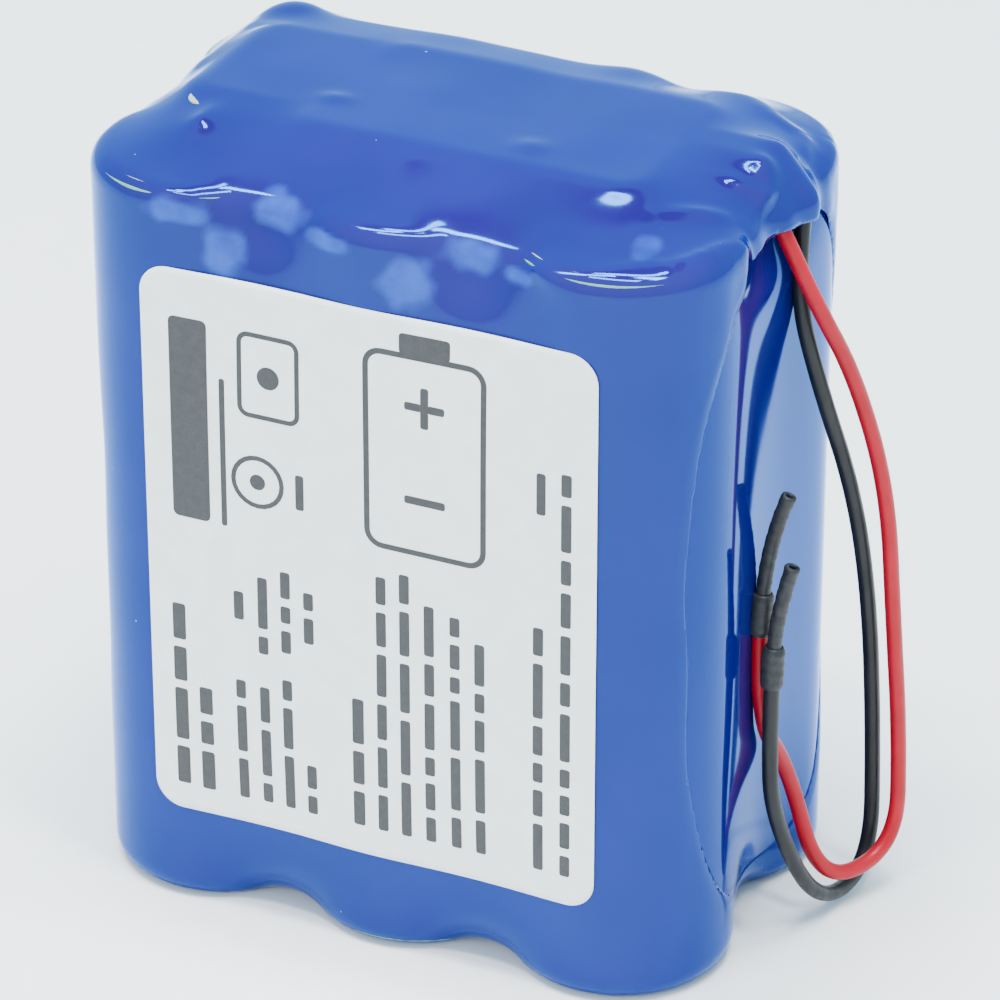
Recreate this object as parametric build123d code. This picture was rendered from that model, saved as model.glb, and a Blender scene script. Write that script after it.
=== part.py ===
"""Rechargeable battery pack: six 18650 cells in a 3 by 2 block, wrapped in two shrink sleeves.

Three groups in series, each of two cells in parallel. Units are millimetres. The pack stands on
z = 0 with its labelled face at -Y and its two leads leaving the upper end of the right side (+X).
Each sub-part is one node, written to parts/NODE.step.
"""
from build123d import *
import math
import os

# ---------------------------------------------------------------- driving dimensions
cell_columns = 3            # groups in series, side by side along X
cell_rows = 2               # cells in parallel, front to back
cell_pitch = 18.5
cell_height = 65.0          # from the lower rim of the wrap to the top of the positive cap
wrap_radius = 9.2
wrap_thickness = 0.1
rim_radius = 8.0            # how far the cell wrap turns in over each end
can_radius = 9.08
can_wall = 0.25
can_top = 64.4
can_mouth_radius = 7.0      # edge of the can, crimped inwards over the gasket
can_crimp = 0.3             # thickness of the crimped edge and of the can's floor
groove_height = 60.4
groove_depth = 0.85
groove_reach = 0.9          # half height of the groove
cap_height = 62.7           # underside of the positive cap's plate
cap_plate_top = 63.5
cap_radius = 8.2
cap_hat_foot_radius = 5.8
cap_hat_top_radius = 4.6
cap_sheet = 0.4             # sheet that the cap's hat is pressed from
gasket_radius = 8.8
gasket_wall = 0.5
gasket_height = 61.6
gasket_top = 64.05
gasket_lip_radius = 6.2
washer_radius = 8.9
washer_bore = 6.0
washer_height = 64.42
washer_thickness = 0.2
wrap_top = 64.75
winding_radius = 8.7
winding_bore = 1.5
winding_height = 57.8

film_radius = 9.55          # outer sleeve's radius round the corner cells
outer_film = 0.16
inner_film = 0.13
film_gap = 0.03
shoulder_height = 66.7      # where the sides end and the tented top begins
pack_height = 69.6
tent_length = 50.0
tent_width = 19.0
foot_radius = 1.0
shoulder_radius = 1.0
opening_height = 60.0       # oval opening that the outer sleeve leaves on each side
opening_width = 29.0
opening_centre = 34.0
waist_depth = 1.1           # how far the inner sleeve draws in between the side cells
waist_chord = 14.0
inner_opening_length = 40.0
inner_opening_width = 24.0

sheet_thickness = 0.25      # fibre insulation sheets
sheet_edge_radius = 8.6     # the sheets follow the cell ends and leave the valleys free
sheet_overhang = 3.0        # the sheets just cover the strips in the valleys
strip_thickness = 0.15      # nickel strips
strip_width = 8.0
strip_overhang = 2.6        # how far a strip reaches past the cell centres, front and back
bottom_sheet_floor = 0.35
bottom_strip_floor = 0.63
cell_floor = 0.80
top_strip_floor = 65.82
top_sheet_floor = 66.00
pad_floor = 66.27
pad_thickness = 0.65

board_length = 44.0
board_width = 15.0
board_thickness = 0.8
board_floor = 66.94
part_height = 1.0           # power transistors and controller
cover_floor = 68.80
cover_thickness = 0.15
cover_left = -21.5
cover_right = 18.4

lead_diameter = 1.36
collar_diameter = 1.96
collar_bore = 1.40
collar_length = 3.8
collar_on_lead = 0.55       # share of the collar that lies on the lead
end_tube_diameter = 1.26
end_tube_bore = 0.72
conductor_diameter = 0.66
conductor_length = 3.0
lead_bend_share = 0.45      # share of the shorter run that each bend takes

label_left = -19.9
label_right = 20.4
label_bottom = 9.1
label_top = 59.7
label_corner = 2.5
label_thickness = 0.08

# Free leads: points where the straight runs would meet, from the film's edge to the end tube.
red_route = [(27.6, 1.2, 62.8), (30.0, 1.4, 57.8), (32.4, 5.0, 49.8), (34.6, 7.6, 38.5),
             (35.4, 8.0, 26.0), (35.8, 9.4, 14.5), (36.0, 9.3, 3.4), (32.3, 0.9, 3.2),
             (28.8, 1.8, 14.0), (28.2, -4.2, 21.5), (28.2, -3.4, 31.2)]
black_route = [(28.0, 3.8, 63.4), (28.0, 2.6, 57.6), (29.8, 3.4, 49.5), (31.8, 7.2, 38.0),
               (33.0, 8.6, 27.0), (33.3, 9.8, 13.5), (33.6, 9.6, 1.0), (32.4, 0.4, 1.4),
               (30.2, -5.0, 13.0), (29.8, -4.9, 20.5), (29.8, -4.6, 27.2)]
# End tubes: from the end of the lead, past one bend, to the open tip.
red_tube_route = [(28.2, -3.4, 31.2), (28.3, -2.9, 37.3), (29.9, -2.2, 41.7)]
black_tube_route = [(29.8, -4.6, 27.2), (29.8, -4.4, 31.4), (31.0, -3.8, 36.2)]
# Hidden ends of the leads: from the film's edge, over the cells, to the board.
tail_rise = 1.6             # how far the hidden end carries on in line with the lead
tail_shoulder = (25.2, 68.35)
tail_end = (20.4, 68.47)
hood_clearance = 0.1        # between a lead and the film that bulges over it

# ---------------------------------------------------------------- derived positions
column_x = [(i - (cell_columns - 1) / 2) * cell_pitch for i in range(cell_columns)]
row_y = [(j - (cell_rows - 1) / 2) * cell_pitch for j in range(cell_rows)]
valley_x = cell_pitch / 2                     # wires run up between four cells here
board_top = board_floor + board_thickness
film_face_x = column_x[-1] + film_radius      # flat right side of the outer sleeve
film_face_y = row_y[-1] + film_radius         # flat back of the outer sleeve


def tube_between(low_z, high_z, outer, inner):
    """Upright ring or tube on the Z axis."""
    ring = Circle(outer) - Circle(inner)
    return extrude(Pos(0, 0, low_z) * ring, high_z - low_z)


def turned(points):
    """Solid turned about the Z axis from (radius, height) points."""
    with BuildPart() as body:
        with BuildSketch(Plane.XZ):
            with BuildLine():
                Polyline(*points, close=True)
            make_face()
        revolve(axis=Axis.Z)
    return body.part


# ---------------------------------------------------------------- one cell, positive end up
def can():
    inside = can_radius - can_wall
    waist = can_radius - groove_depth
    inner_reach = groove_reach + can_wall
    floor_top = wrap_thickness + can_crimp
    outer_side = [
        (0, wrap_thickness), (can_radius, wrap_thickness), (can_radius, groove_height - groove_reach),
        (waist, groove_height), (can_radius, groove_height + groove_reach), (can_radius, can_top)]
    crimp = [
        (can_mouth_radius, can_top), (can_mouth_radius, can_top - can_crimp), (inside, can_top - can_crimp)]
    inner_side = [
        (inside, groove_height + inner_reach), (waist - can_wall, groove_height),
        (inside, groove_height - inner_reach), (inside, floor_top), (0, floor_top)]
    return turned(outer_side + crimp + inner_side)


def gasket():
    """Ring with a lip over the cap's edge."""
    inside = gasket_radius - gasket_wall
    lip_floor = gasket_top - 0.9 * gasket_wall
    return turned([
        (inside, gasket_height), (gasket_radius, gasket_height), (gasket_radius, gasket_top),
        (gasket_lip_radius, gasket_top), (gasket_lip_radius, lip_floor), (inside, lip_floor)])


def positive_cap():
    """Plate with a hollow hat in the middle, and three vents in the hat's side."""
    plate_inside = cap_plate_top - cap_sheet / 2
    hat_inside = cell_height - cap_sheet
    hat = turned([
        (0, cap_height), (cap_radius, cap_height), (cap_radius, cap_plate_top),
        (cap_hat_foot_radius, cap_plate_top), (cap_hat_top_radius, cell_height), (0, cell_height),
        (0, hat_inside), (cap_hat_top_radius - 0.3, hat_inside), (cap_hat_foot_radius - 0.6, plate_inside),
        (0, plate_inside)])
    vent_size, vent_height = 2.2, 0.7
    vent_radius = (cap_hat_foot_radius + cap_hat_top_radius) / 2
    for turn in range(0, 360, 120):
        vent = Pos(vent_radius, 0, 64.1) * Box(vent_size, vent_size, vent_height)
        hat -= Rot(0, 0, turn) * vent
    return hat


def paper_washer():
    return tube_between(washer_height, washer_height + washer_thickness, washer_radius, washer_bore)


def cell_wrap():
    """Sleeve that turns in over both ends of the cell."""
    side = tube_between(0, wrap_top, wrap_radius, wrap_radius - wrap_thickness)
    lower_rim = tube_between(0, wrap_thickness - 0.02, wrap_radius, rim_radius)
    upper_rim = tube_between(wrap_top - wrap_thickness, wrap_top, wrap_radius, rim_radius)
    return side + lower_rim + upper_rim


def winding():
    """Roll of electrodes and separator, as one plain hollow roll."""
    return tube_between(1.0, 1.0 + winding_height, winding_radius, winding_bore)


def cell_places():
    """Location of each cell. The outer columns stand positive end down, the middle one up."""
    places = []
    upside_down = (180, 0, 0)
    for column, x in enumerate(column_x):
        for y in row_y:
            if column % 2 == 0:
                places.append(Location((x, y, cell_floor + cell_height), upside_down))
            else:
                places.append(Location((x, y, cell_floor)))
    return places


# ---------------------------------------------------------------- strips, sheets and tape
def weld_spots(x, y, low_z, high_z):
    """Four small weld dimples that join a strip to one cell."""
    reach, spot_radius = 1.6, 0.6
    spots = []
    for dx in (-reach, reach):
        for dy in (-reach, reach):
            spot = Cylinder(spot_radius, high_z - low_z)
            spots.append(Pos(x + dx, y + dy, (low_z + high_z) / 2) * spot)
    return spots


def strip(left, right, floor, columns, weld_low, weld_high, wire_hole=None):
    """Nickel plate across both rows, welded to the cells of the given columns."""
    corner, hole_radius = 1.5, 2.0
    depth = cell_pitch + 2 * strip_overhang
    outline = Pos((left + right) / 2, 0) * RectangleRounded(right - left, depth, corner)
    if wire_hole is not None:
        outline -= Pos(wire_hole, 0) * Circle(hole_radius)
    plate = extrude(Pos(0, 0, floor) * outline, strip_thickness)
    for column in columns:
        for y in row_y:
            for spot in weld_spots(column_x[column], y, weld_low, weld_high):
                plate += spot
    return plate


def pack_outline(radius):
    """Rounded rectangle that runs round the four corner cells."""
    length = column_x[-1] - column_x[0] + 2 * radius
    width = row_y[-1] - row_y[0] + 2 * radius
    return RectangleRounded(length, width, radius - 0.01)


def sheet_outline():
    """Lobed outline: a round over each cell end, joined across the middle of the pack."""
    depth = cell_pitch + 2 * sheet_overhang
    outline = Rectangle(column_x[-1] - column_x[0], depth)
    for x in column_x:
        for y in row_y:
            outline += Pos(x, y) * Circle(sheet_edge_radius)
    return outline


def top_sheet():
    """Sheet over the upper strips, with holes for four wires and a notch for the two leads."""
    outline = sheet_outline()
    for x in (-valley_x, valley_x):
        outline -= Pos(x, 0) * Circle(riser_hole)
    for x in (column_x[0], column_x[1]):
        outline -= Pos(x, link_wire_y) * Circle(link_hole)
    notch_middle = (column_x[-1] + 9.0, 2.7)
    outline -= Pos(*notch_middle) * Rectangle(7.0, 7.6)
    return extrude(Pos(0, 0, top_sheet_floor) * outline, sheet_thickness)


def bottom_sheet():
    return extrude(Pos(0, 0, bottom_sheet_floor) * sheet_outline(), sheet_thickness)


def cell_tape():
    """Double-sided tape between each pair of neighbouring cells."""
    tape_thickness = 0.08
    tape_width = 4.0
    tape_height = 50.0
    middle = cell_floor + cell_height / 2
    strips = []
    for x in column_x:
        strips.append(Pos(x, 0, middle) * Box(tape_width, tape_thickness, tape_height))
    for x in (-valley_x, valley_x):
        for y in row_y:
            strips.append(Pos(x, y, middle) * Box(tape_thickness, tape_width, tape_height))
    return strips


# ---------------------------------------------------------------- protection board
link_wire_y = -10.2
wire_radius = 0.5
wire_clearance = 0.05
riser_hole = 1.2            # holes in the sheet and the pad round a wire
link_hole = 1.4
standoff = 0.08             # gap between the board and a package
chip_length, chip_width, chip_height = 1.0, 0.5, 0.4
resistor_length, resistor_width, resistor_height = 6.3, 2.6, 0.6
solder_spots = [(-18.5, -5.4), (0.0, -5.4), (-valley_x, 0.0), (valley_x, 0.0),
                (19.2, 1.2), (19.2, 4.0)]
transistor_spots = [(-19.0, 2.0), (-14.0, 2.0), (13.5, -3.2), (13.5, 3.2)]
controller_spot = (1.5, 2.2)
sense_spot = (4.6, -5.0)
chip_spots = [(-5.5, 4.6), (-5.5, 3.0), (-5.5, 1.4), (-5.5, -2.4), (-3.6, -2.4), (-1.7, -2.4),
              (6.6, 5.4), (6.6, 3.8), (6.6, 2.2), (-11.6, -5.2), (-9.6, -5.2), (-7.6, -5.2)]


def board_pad():
    """Foam pad between the insulation sheet and the board."""
    margin = 1.0
    outline = Rectangle(board_length - 2 * margin, board_width - 2 * margin)
    for x in (-valley_x, valley_x):
        outline -= Pos(x, 0) * Circle(riser_hole)
    return extrude(Pos(0, 0, pad_floor) * outline, pad_thickness)


def protection_board():
    corner = 1.0
    outline = RectangleRounded(board_length, board_width, corner)
    for x in (-valley_x, valley_x):
        outline -= Pos(x, 0) * Circle(wire_radius + wire_clearance)
    return extrude(Pos(0, 0, board_floor) * outline, board_thickness)


def leaded_chip(x, y, length, width, pins):
    """Small plastic package with gull-wing pins along both long sides."""
    body_height = part_height - standoff
    body = Pos(x, y, board_top + standoff + body_height / 2) * Box(width, length, body_height)
    pin_pitch = length / pins
    pin = Box(0.75, pin_pitch * 0.45, 0.46)
    for side in (-1, 1):
        for i in range(pins):
            pin_y = y - length / 2 + pin_pitch * (i + 0.5)
            pin_x = x + side * (width / 2 + 0.35)
            body += Pos(pin_x, pin_y, board_top + 0.25) * pin
    return body


def transistors():
    return [leaded_chip(x, y, length=3.0, width=3.0, pins=4) for x, y in transistor_spots]


def controller():
    return leaded_chip(*controller_spot, length=5.0, width=4.0, pins=8)


def sense_resistor():
    body = Box(resistor_length, resistor_width, resistor_height)
    return Pos(*sense_spot, board_top + 0.02 + resistor_height / 2) * body


def chip_parts():
    body = Box(chip_length, chip_width, chip_height)
    return [Pos(x, y, board_top + 0.02 + chip_height / 2) * body for x, y in chip_spots]


def solder_joints():
    """Domes of solder that hold the wires and leads to the board."""
    ball_radius, sunk, dome_height = 1.15, 0.25, 1.0
    domes = []
    for x, y in solder_spots:
        ball = Pos(x, y, board_top - sunk) * Sphere(ball_radius)
        above_board = Pos(x, y, board_top + 0.02 + dome_height / 2) * Box(3, 3, dome_height)
        domes.append(ball & above_board)
    return domes


def board_cover():
    """Fibre sheet over the board's parts."""
    overhang, corner = 0.5, 1.5
    outline = RectangleRounded(cover_right - cover_left, board_width + 2 * overhang, corner)
    return extrude(Pos((cover_left + cover_right) / 2, 0, cover_floor) * outline, cover_thickness)


def riser_wire(x):
    """Straight wire from a lower strip, up between four cells and through the board."""
    foot = bottom_strip_floor + strip_thickness + 0.02
    return Pos(x, 0, (foot + board_top) / 2) * Cylinder(wire_radius, board_top - foot)


def link_wire(x):
    """Short wire from an upper strip, round the board's edge, to its solder joint."""
    start = top_strip_floor + strip_thickness + 0.01
    level = board_top + wire_radius
    joint_edge_y = -6.6
    corners = [(x, link_wire_y, start), (x, link_wire_y, level), (x, joint_edge_y, level)]
    return sweep_tube(FilletPolyline(*corners, radius=0.9), wire_radius)


# ---------------------------------------------------------------- shrink sleeves and label
def envelope(inset):
    """Closed solid inside the film: upright sides, rounded foot and a low tent over the board."""
    tent_corner = 4.0
    outline = pack_outline(film_radius - inset)
    shoulder = shoulder_height - inset
    body = extrude(Pos(0, 0, inset) * outline, shoulder - inset)
    crown = Pos(0, 0, pack_height - inset) * RectangleRounded(tent_length, tent_width, tent_corner)
    body += loft([Pos(0, 0, shoulder) * outline, crown])
    foot = body.edges().group_by(Axis.Z)[0]
    body = fillet(foot, foot_radius - inset)
    rim = [edge for edge in body.edges() if abs(edge.center().Z - shoulder) < 0.01]
    rim = [edge for edge in rim if abs(edge.bounding_box().size.Z) < 0.01]
    return fillet(rim, shoulder_radius)


def side_cutter():
    """Oval bar along X that opens both sides of the outer sleeve."""
    reach = 40.0
    oval = SlotOverall(opening_height, opening_width)
    face = Plane(origin=(-reach, 0, opening_centre), x_dir=(0, 0, 1), z_dir=(1, 0, 0)) * oval
    return extrude(face, 2 * reach)


def lead_hood(radius, end_margin=0.0):
    """Round bars along the hidden lead ends, where the film bulges over them."""
    bars = []
    for route in (red_route, black_route):
        points = tail_route(route)
        along = (Vector(*route[1]) - Vector(*route[0])).normalized()
        points[0] = tuple(Vector(*route[0]) + along * end_margin)
        bars.append(sweep_tube(rounded_route(points), radius))
    return bars


def outer_sleeve():
    """Sleeve with an oval opening at each end and a bulge over the two leads."""
    hood_radius = lead_diameter / 2 + hood_clearance
    middle = Box(2 * column_x[-1] + 8, 60, 200)
    skin = envelope(0) - (side_cutter() - middle)
    for bar in lead_hood(hood_radius + outer_film):
        skin += bar
    skin -= envelope(outer_film)
    for bar in lead_hood(hood_radius, end_margin=1.0):
        skin -= bar
    return skin


def waist_bars(face_x, depth):
    """Two large upright rounds that draw the film in between the side cells."""
    bar_radius = (waist_chord ** 2 / 4 + depth ** 2) / (2 * depth)
    centre = face_x - depth + bar_radius
    bars = Pos(centre, 0, pack_height / 2) * Cylinder(bar_radius, pack_height + 2)
    return bars + Pos(-centre, 0, pack_height / 2) * Cylinder(bar_radius, pack_height + 2)


def inner_sleeve():
    """Sleeve under the outer one, open over the middle of both ends and where the leads pass."""
    opening_corner = 11.0
    outside = outer_film + film_gap
    face = film_face_x - outside
    skin = envelope(outside) - waist_bars(face, waist_depth)
    core = envelope(outside + inner_film) - waist_bars(face - inner_film, waist_depth)
    opening = RectangleRounded(inner_opening_length, inner_opening_width, opening_corner)
    sleeve = skin - core - extrude(opening, 200, both=True)
    for bar in lead_hood(lead_diameter / 2 + hood_clearance + outer_film + film_gap, end_margin=1.0):
        sleeve -= bar
    return sleeve


def label():
    """Paper label on the front of the outer sleeve."""
    width = label_right - label_left
    height = label_top - label_bottom
    centre = ((label_left + label_right) / 2, -film_face_y - 0.01, (label_bottom + label_top) / 2)
    front = Plane(origin=centre, x_dir=(1, 0, 0), z_dir=(0, -1, 0))
    return extrude(front * RectangleRounded(width, height, label_corner), label_thickness)


# ---------------------------------------------------------------- leads
def sweep_tube(route, radius, bore=0):
    """Round bar along a route, or a tube when a bore is given."""
    start = Plane(origin=route @ 0, z_dir=route % 0)
    bar = sweep(start * Circle(radius), path=route)
    if bore:
        bar -= sweep(start * Circle(bore), path=route)
    return bar


def bend_radii(points):
    """A bend takes the same share of the shorter run beside it at each point."""
    radii = []
    for before, here, after in zip(points, points[1:], points[2:]):
        arriving = Vector(*here) - Vector(*before)
        leaving = Vector(*after) - Vector(*here)
        turn = math.radians(arriving.get_angle(leaving))
        shorter = min(arriving.length, leaving.length)
        radii.append(lead_bend_share * shorter / math.tan(turn / 2))
    return radii


def tail_route(lead_points):
    """Hidden end of a lead: on from its first run, over the cells and onto the board."""
    start = Vector(*lead_points[0])
    along = (start - Vector(*lead_points[1])).normalized()
    rise = start + along * tail_rise
    shoulder = (tail_shoulder[0], rise.Y, tail_shoulder[1])
    end = (tail_end[0], rise.Y, tail_end[1])
    return [tuple(start), tuple(rise), shoulder, end]


def rounded_route(points):
    return FilletPolyline(*points, radius=bend_radii(points))


def lead(name, points):
    """Free lead; its length and tightest bends are printed for the record."""
    route = rounded_route(points)
    bar = sweep_tube(route, lead_diameter / 2)
    section = math.pi * lead_diameter ** 2 / 4
    print(name, "bend radii", [round(radius, 1) for radius in bend_radii(points)])
    print(name, "length", round(route.length, 1), "volume / (section x length)",
          round(bar.volume / (section * route.length), 4))
    return bar


def collar(points):
    """Short shrink collar over the joint of a lead and its end tube."""
    end = Vector(*points[-1])
    along = (end - Vector(*points[-2])).normalized()
    plane = Plane(origin=end - along * (collar_length * collar_on_lead), z_dir=along)
    ring = Circle(collar_diameter / 2) - Circle(collar_bore / 2)
    return extrude(plane * ring, collar_length)


def end_tube(points):
    return sweep_tube(rounded_route(points), end_tube_diameter / 2, end_tube_bore / 2)


def end_conductor(points):
    """Bare strands inside the end tube, cut back from its open tip."""
    start = Vector(*points[0])
    along = (Vector(*points[1]) - start).normalized()
    section = Plane(origin=start, z_dir=along) * Circle(conductor_diameter / 2)
    return extrude(section, conductor_length)


# ---------------------------------------------------------------- all nodes
def build():
    nodes = {}
    pieces = {"can": can(), "cap": positive_cap(), "washer": paper_washer(), "wrap": cell_wrap()}
    places = cell_places()
    for number, place in enumerate(places, start=1):
        for name, piece in pieces.items():
            nodes[f"cell_{number}_{name}"] = place * piece
    nodes["cell_gaskets"] = [place * gasket() for place in places]
    nodes["cell_windings"] = [place * winding() for place in places]

    cap_level = cell_floor + cell_height
    upper = (cap_level, top_strip_floor + 0.05)
    lower = (bottom_strip_floor + 0.05, cell_floor)
    edge = strip_width / 2
    nodes["upper_negative_strip"] = strip(
        column_x[0] - edge, column_x[0] + edge, top_strip_floor, [0], *upper)
    nodes["upper_series_strip"] = strip(
        column_x[1] - edge, column_x[2] + edge, top_strip_floor, [1, 2], *upper, wire_hole=valley_x)
    nodes["lower_series_strip"] = strip(
        column_x[0] - edge, column_x[1] + edge, bottom_strip_floor, [0, 1], *lower)
    nodes["lower_positive_strip"] = strip(
        valley_x - 2.5, column_x[2] + edge, bottom_strip_floor, [2], *lower)

    nodes["top_insulation_sheet"] = top_sheet()
    nodes["bottom_insulation_sheet"] = bottom_sheet()
    nodes["cell_tape"] = cell_tape()
    nodes["board_foam_pad"] = board_pad()
    nodes["protection_board"] = protection_board()
    nodes["power_transistors"] = transistors()
    nodes["protection_controller"] = controller()
    nodes["sense_resistor"] = sense_resistor()
    nodes["chip_components"] = chip_parts()
    nodes["solder_joints"] = solder_joints()
    nodes["negative_link_wire"] = link_wire(column_x[0])
    nodes["second_tap_wire"] = link_wire(column_x[1])
    nodes["first_tap_wire"] = riser_wire(-valley_x)
    nodes["positive_riser_wire"] = riser_wire(valley_x)
    nodes["board_cover_sheet"] = board_cover()

    nodes["inner_sleeve"] = inner_sleeve()
    nodes["outer_sleeve"] = outer_sleeve()
    nodes["label"] = label()

    nodes["red_lead"] = lead("red_lead", red_route)
    nodes["black_lead"] = lead("black_lead", black_route)
    for colour, lead_points in (("red", red_route), ("black", black_route)):
        tail = rounded_route(tail_route(lead_points))
        nodes[f"{colour}_lead_tail"] = sweep_tube(tail, lead_diameter / 2)
    for colour, lead_points, tube_points in (
            ("red", red_route, red_tube_route), ("black", black_route, black_tube_route)):
        nodes[f"{colour}_end_tube"] = end_tube(tube_points)
        nodes[f"{colour}_end_collar"] = collar(lead_points)
    nodes["end_conductors"] = [end_conductor(red_tube_route), end_conductor(black_tube_route)]
    return nodes


def solids_of(shape):
    if isinstance(shape, list):
        return [solid for item in shape for solid in item.solids()]
    return shape.solids()


os.makedirs("parts", exist_ok=True)
for node, shape in build().items():
    solids = solids_of(shape)
    export_step(solids[0] if len(solids) == 1 else Compound(solids), f"parts/{node}.step")
    print(node, len(solids))
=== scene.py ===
"""Looks of the battery pack: shrink films, label, leads and the pieces inside, on the CAD frame."""
import math
import random

import bmesh
import bpy
import numpy as np
from mathutils import Matrix, Vector, noise
from mathutils.bvhtree import BVHTree


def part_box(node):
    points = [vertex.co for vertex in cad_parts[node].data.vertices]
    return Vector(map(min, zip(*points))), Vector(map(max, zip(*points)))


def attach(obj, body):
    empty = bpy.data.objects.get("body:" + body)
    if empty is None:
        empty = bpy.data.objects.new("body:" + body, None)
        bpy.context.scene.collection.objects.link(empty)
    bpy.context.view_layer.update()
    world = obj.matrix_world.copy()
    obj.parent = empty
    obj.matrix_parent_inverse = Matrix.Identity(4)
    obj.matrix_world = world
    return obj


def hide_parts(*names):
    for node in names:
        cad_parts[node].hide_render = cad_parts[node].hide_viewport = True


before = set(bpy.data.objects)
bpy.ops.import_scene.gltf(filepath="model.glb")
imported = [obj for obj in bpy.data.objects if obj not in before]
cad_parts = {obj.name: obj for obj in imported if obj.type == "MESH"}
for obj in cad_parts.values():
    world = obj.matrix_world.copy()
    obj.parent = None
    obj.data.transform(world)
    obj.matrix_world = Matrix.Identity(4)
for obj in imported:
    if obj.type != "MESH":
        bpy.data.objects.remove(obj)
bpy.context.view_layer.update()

MM = 0.001
TINY = 1e-6

# ---------------------------------------------------------------- sizes, in millimetres
CELL_PITCH = 18.5
ROW_Y = CELL_PITCH / 2
INNER_RADIUS = 9.36         # inner film round a cell
INNER_FILM = 0.13
OUTER_FILM = 0.16
OUTER_OFFSET = 0.19         # outer face of the outer film, beyond the inner film's
EDGE_DROP = 0.22            # how far its cut edge settles towards the inner film
FILM_FLOOR = 0.19           # underside of the inner film
CELL_TOP = 66.4             # film over the insulation sheet on the cells
CELL_RIM = 1.7              # how tightly the film turns over the cell ends
MESH_STEP = 0.7

OPENING_HALF_WIDTH = 14.5   # oval opening that the outer film leaves at each end of the pack
OPENING_HALF_HEIGHT = 30.0
OPENING_CENTRE = 34.0
OPENING_POWER = 2.8
OPENING_WAVES = ((0.008, 7, 0.6), (0.006, 13, 0.0))  # unevenness: share, waves round the edge, start
END_FACES_FROM = 21.5       # distance of the end faces from the middle, along X
WAIST_DEPTH = 0.3           # how far the film draws in between the end cells
WAIST_DEPTH_TOP = 1.1       # and where the leads come out
WAIST_CHORD = 18.5
SLOT_CENTRE = (26.6, 2.5, 66.2)     # slot in the inner film for the leads
SLOT_REACH = (3.2, 3.2, 3.4)
TOP_FROM = 58.0             # all that lifts the film on the top lies above this height
FAR = 60.0                  # well outside the pack, to look at it from there

LABEL_LEFT, LABEL_RIGHT = -19.9, 20.4
LABEL_BOTTOM, LABEL_TOP = 9.1, 59.7
LABEL_CORNER = 2.5
LABEL_THICKNESS = 0.08
PRINT_LIFT = 0.02

LEAD_DIAMETER = 1.36
LEAD_RADIUS = LEAD_DIAMETER / 2
TUBE_RADIUS, TUBE_BORE = 0.63, 0.36
COLLAR_RADIUS, COLLAR_BORE, COLLAR_LENGTH = 0.98, 0.70, 3.8
RED_ROUTE = [(27.6, 1.2, 62.8), (30.0, 1.4, 57.8), (32.4, 5.0, 49.8), (34.6, 7.6, 38.5),
             (35.4, 8.0, 26.0), (35.8, 9.4, 14.5), (36.0, 9.3, 3.4), (32.3, 0.9, 3.2),
             (28.8, 1.8, 14.0), (28.2, -4.2, 21.5), (28.2, -3.4, 31.2)]
BLACK_ROUTE = [(28.0, 3.8, 63.4), (28.0, 2.6, 57.6), (29.8, 3.4, 49.5), (31.8, 7.2, 38.0),
               (33.0, 8.6, 27.0), (33.3, 9.8, 13.5), (33.6, 9.6, 1.0), (32.4, 0.4, 1.4),
               (30.2, -5.0, 13.0), (29.8, -4.9, 20.5), (29.8, -4.6, 27.2)]
RED_TUBE_ROUTE = [(28.2, -3.4, 31.2), (28.3, -2.9, 37.3), (29.9, -2.2, 41.7)]
BLACK_TUBE_ROUTE = [(29.8, -4.6, 27.2), (29.8, -4.4, 31.4), (31.0, -3.8, 36.2)]
RED_TONES = ((0.31, 0.0, 0.007), (0.37, 0.0, 0.011))
BLACK_TONES = ((0.006, 0.006, 0.007), (0.011, 0.011, 0.012))

UP, SIDEWAYS, SLANTING = (0, 0, 1), (1, 0, 0), (0.8, 0, 0.6)

# Upright pads that hold the film up: centre, half sizes, plan corner, low, high, rim radius.
TOP_PADS = (
    ((0.0, -6.8), (27.2, 10.3), 8.6, 58.0, 66.5, 2.2),
    ((0.0, 6.4), (27.2, 10.9), 8.6, 58.0, 67.0, 2.4),
    ((-1.0, 5.6), (24.6, 9.4), 5.5, 58.0, 68.55, 2.6),
    ((-11.6, 1.2), (12.4, 9.4), 4.5, 62.0, 69.4, 3.0),
    ((4.0, 0.0), (17.2, 10.8), 4.5, 62.0, 69.5, 2.8),
)
# Soft lumps under the film: centre and radii.
TOP_LUMPS = (
    ((-21.6, 12.0, 61.0), (5.8, 5.8, 8.2)),
    ((9.0, -6.5, 61.0), (8.0, 11.5, 7.9)),
    ((-6.0, 13.0, 65.6), (5.0, 4.4, 2.3)),
    ((8.0, 12.6, 65.6), (6.0, 4.6, 2.5)),
)
# Dents where the film sinks between the cells: centre, radii, depth.
DENTS = (
    ((-9.4, -18.4, 64.0), (3.4, 3.0, 2.8), 0.6),
    ((9.0, -18.4, 63.6), (3.6, 3.0, 3.0), 0.65),
    ((-7.0, 13.6, 68.4), (4.0, 3.0, 2.0), -0.25),
    ((8.6, 13.4, 68.4), (3.0, 3.0, 2.0), -0.35),
    ((13.8, 13.6, 68.2), (2.4, 3.0, 2.0), 0.40),
    ((-9.8, -3.6, 69.2), (1.4, 1.0, 1.0), -0.25),
    ((8.4, -5.4, 68.8), (1.6, 1.3, 1.2), -0.35),
)
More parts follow.
